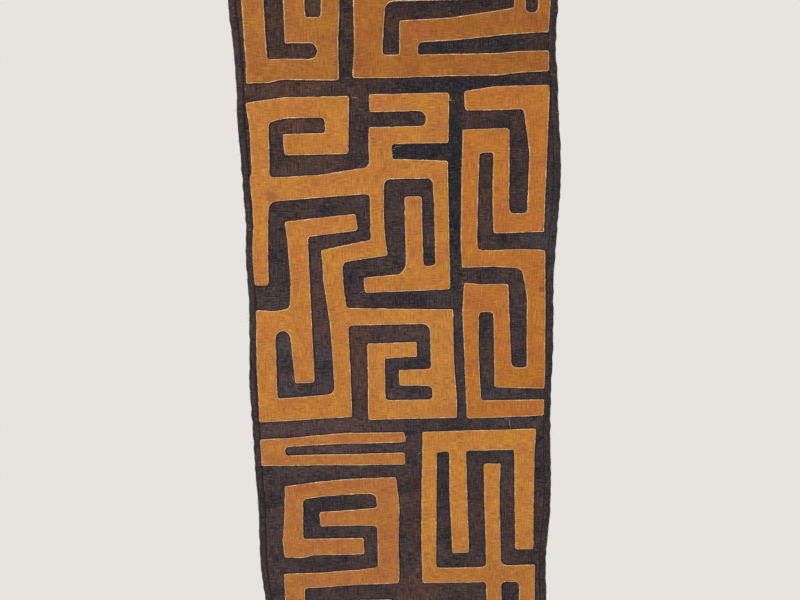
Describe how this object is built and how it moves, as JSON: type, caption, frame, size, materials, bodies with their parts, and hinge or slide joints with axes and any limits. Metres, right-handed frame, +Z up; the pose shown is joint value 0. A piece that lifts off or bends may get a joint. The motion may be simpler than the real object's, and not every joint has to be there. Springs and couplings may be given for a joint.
{
  "type": "kuba raffia cloth",
  "caption": "Long narrow dark raffia wall cloth with side hems and hand-cut orange raffia shapes sewn on in a traditional angular meander.",
  "frame": {"origin": "the middle of the cloth's top edge, on its back", "axes": "+Z up along the cloth's length, +X to the viewer's right across its width, front facing -Y"},
  "size_m": [0.62, 0.008, 1.51],
  "materials": {
    "dark_raffia": "matt plain-woven raffia dyed dark brown, heathered",
    "orange_raffia": "matt plain-woven raffia dyed orange brown",
    "tan_thread": "undyed raffia thread",
    "dark_thread": "dark raffia sewing thread"
  },
  "bodies": {
    "root": {"ground_cloth": "dark_raffia", "upper_left_patch": "orange_raffia", "upper_right_patch": "orange_raffia", "main_maze_patch": "orange_raffia", "right_meander_patch": "orange_raffia", "short_fork_patch": "orange_raffia", "lower_left_patch": "orange_raffia", "lower_right_patch": "orange_raffia", "bottom_patch": "orange_raffia"}
  },
  "joints": []
}
